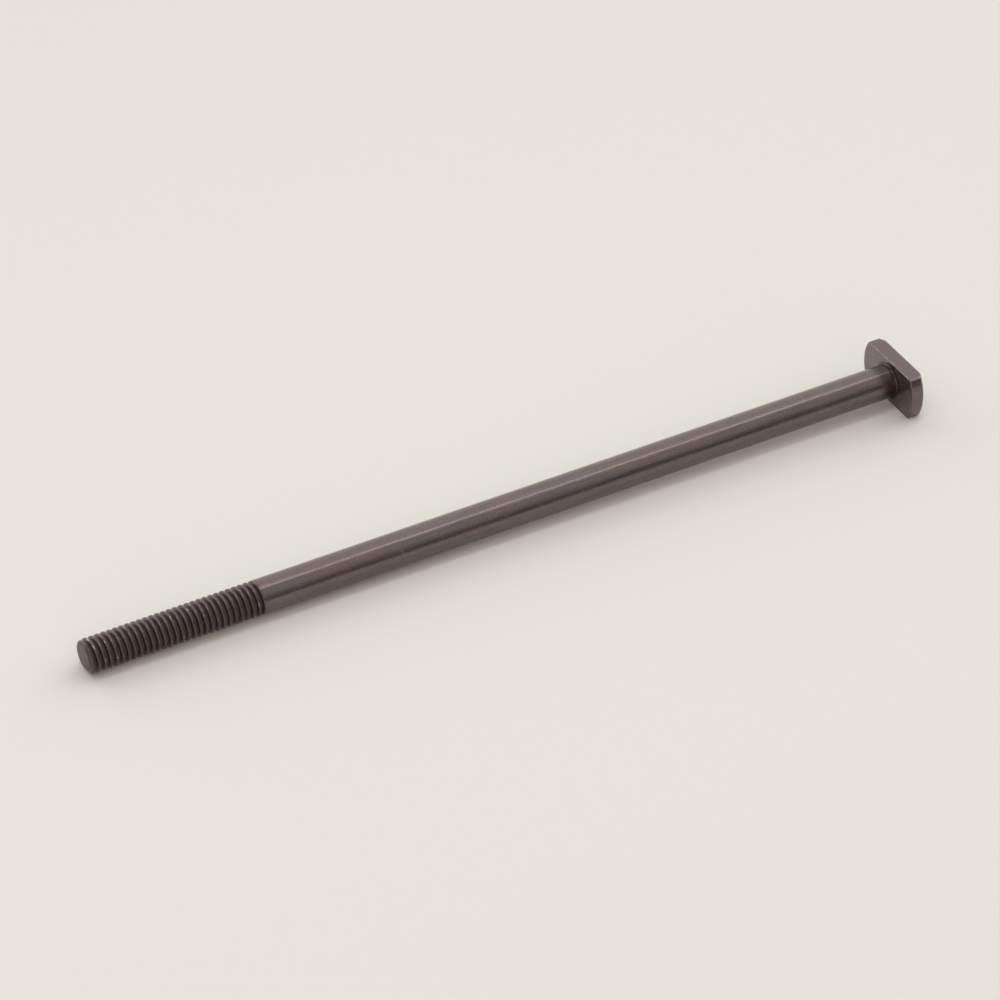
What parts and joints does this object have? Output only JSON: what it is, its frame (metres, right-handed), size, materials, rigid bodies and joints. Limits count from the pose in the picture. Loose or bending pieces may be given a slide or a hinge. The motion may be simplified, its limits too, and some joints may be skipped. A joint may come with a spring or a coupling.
{
  "type": "layshaft bolt",
  "caption": "Long slim through bolt with a thin round head cut to two parallel flats, a plain shank and a short threaded end.",
  "frame": {"origin": "on the bolt's axis, at the underside of the head", "axes": "+X along the bolt towards the head, +Z square to the head's two flats; the thread's end points to -X"},
  "size_m": [0.2069, 0.0206, 0.0108],
  "materials": {
    "blackened_steel": "satin, dark warm grey, oiled"
  },
  "bodies": {
    "root": {"layshaft_bolt": "blackened_steel"}
  },
  "joints": []
}
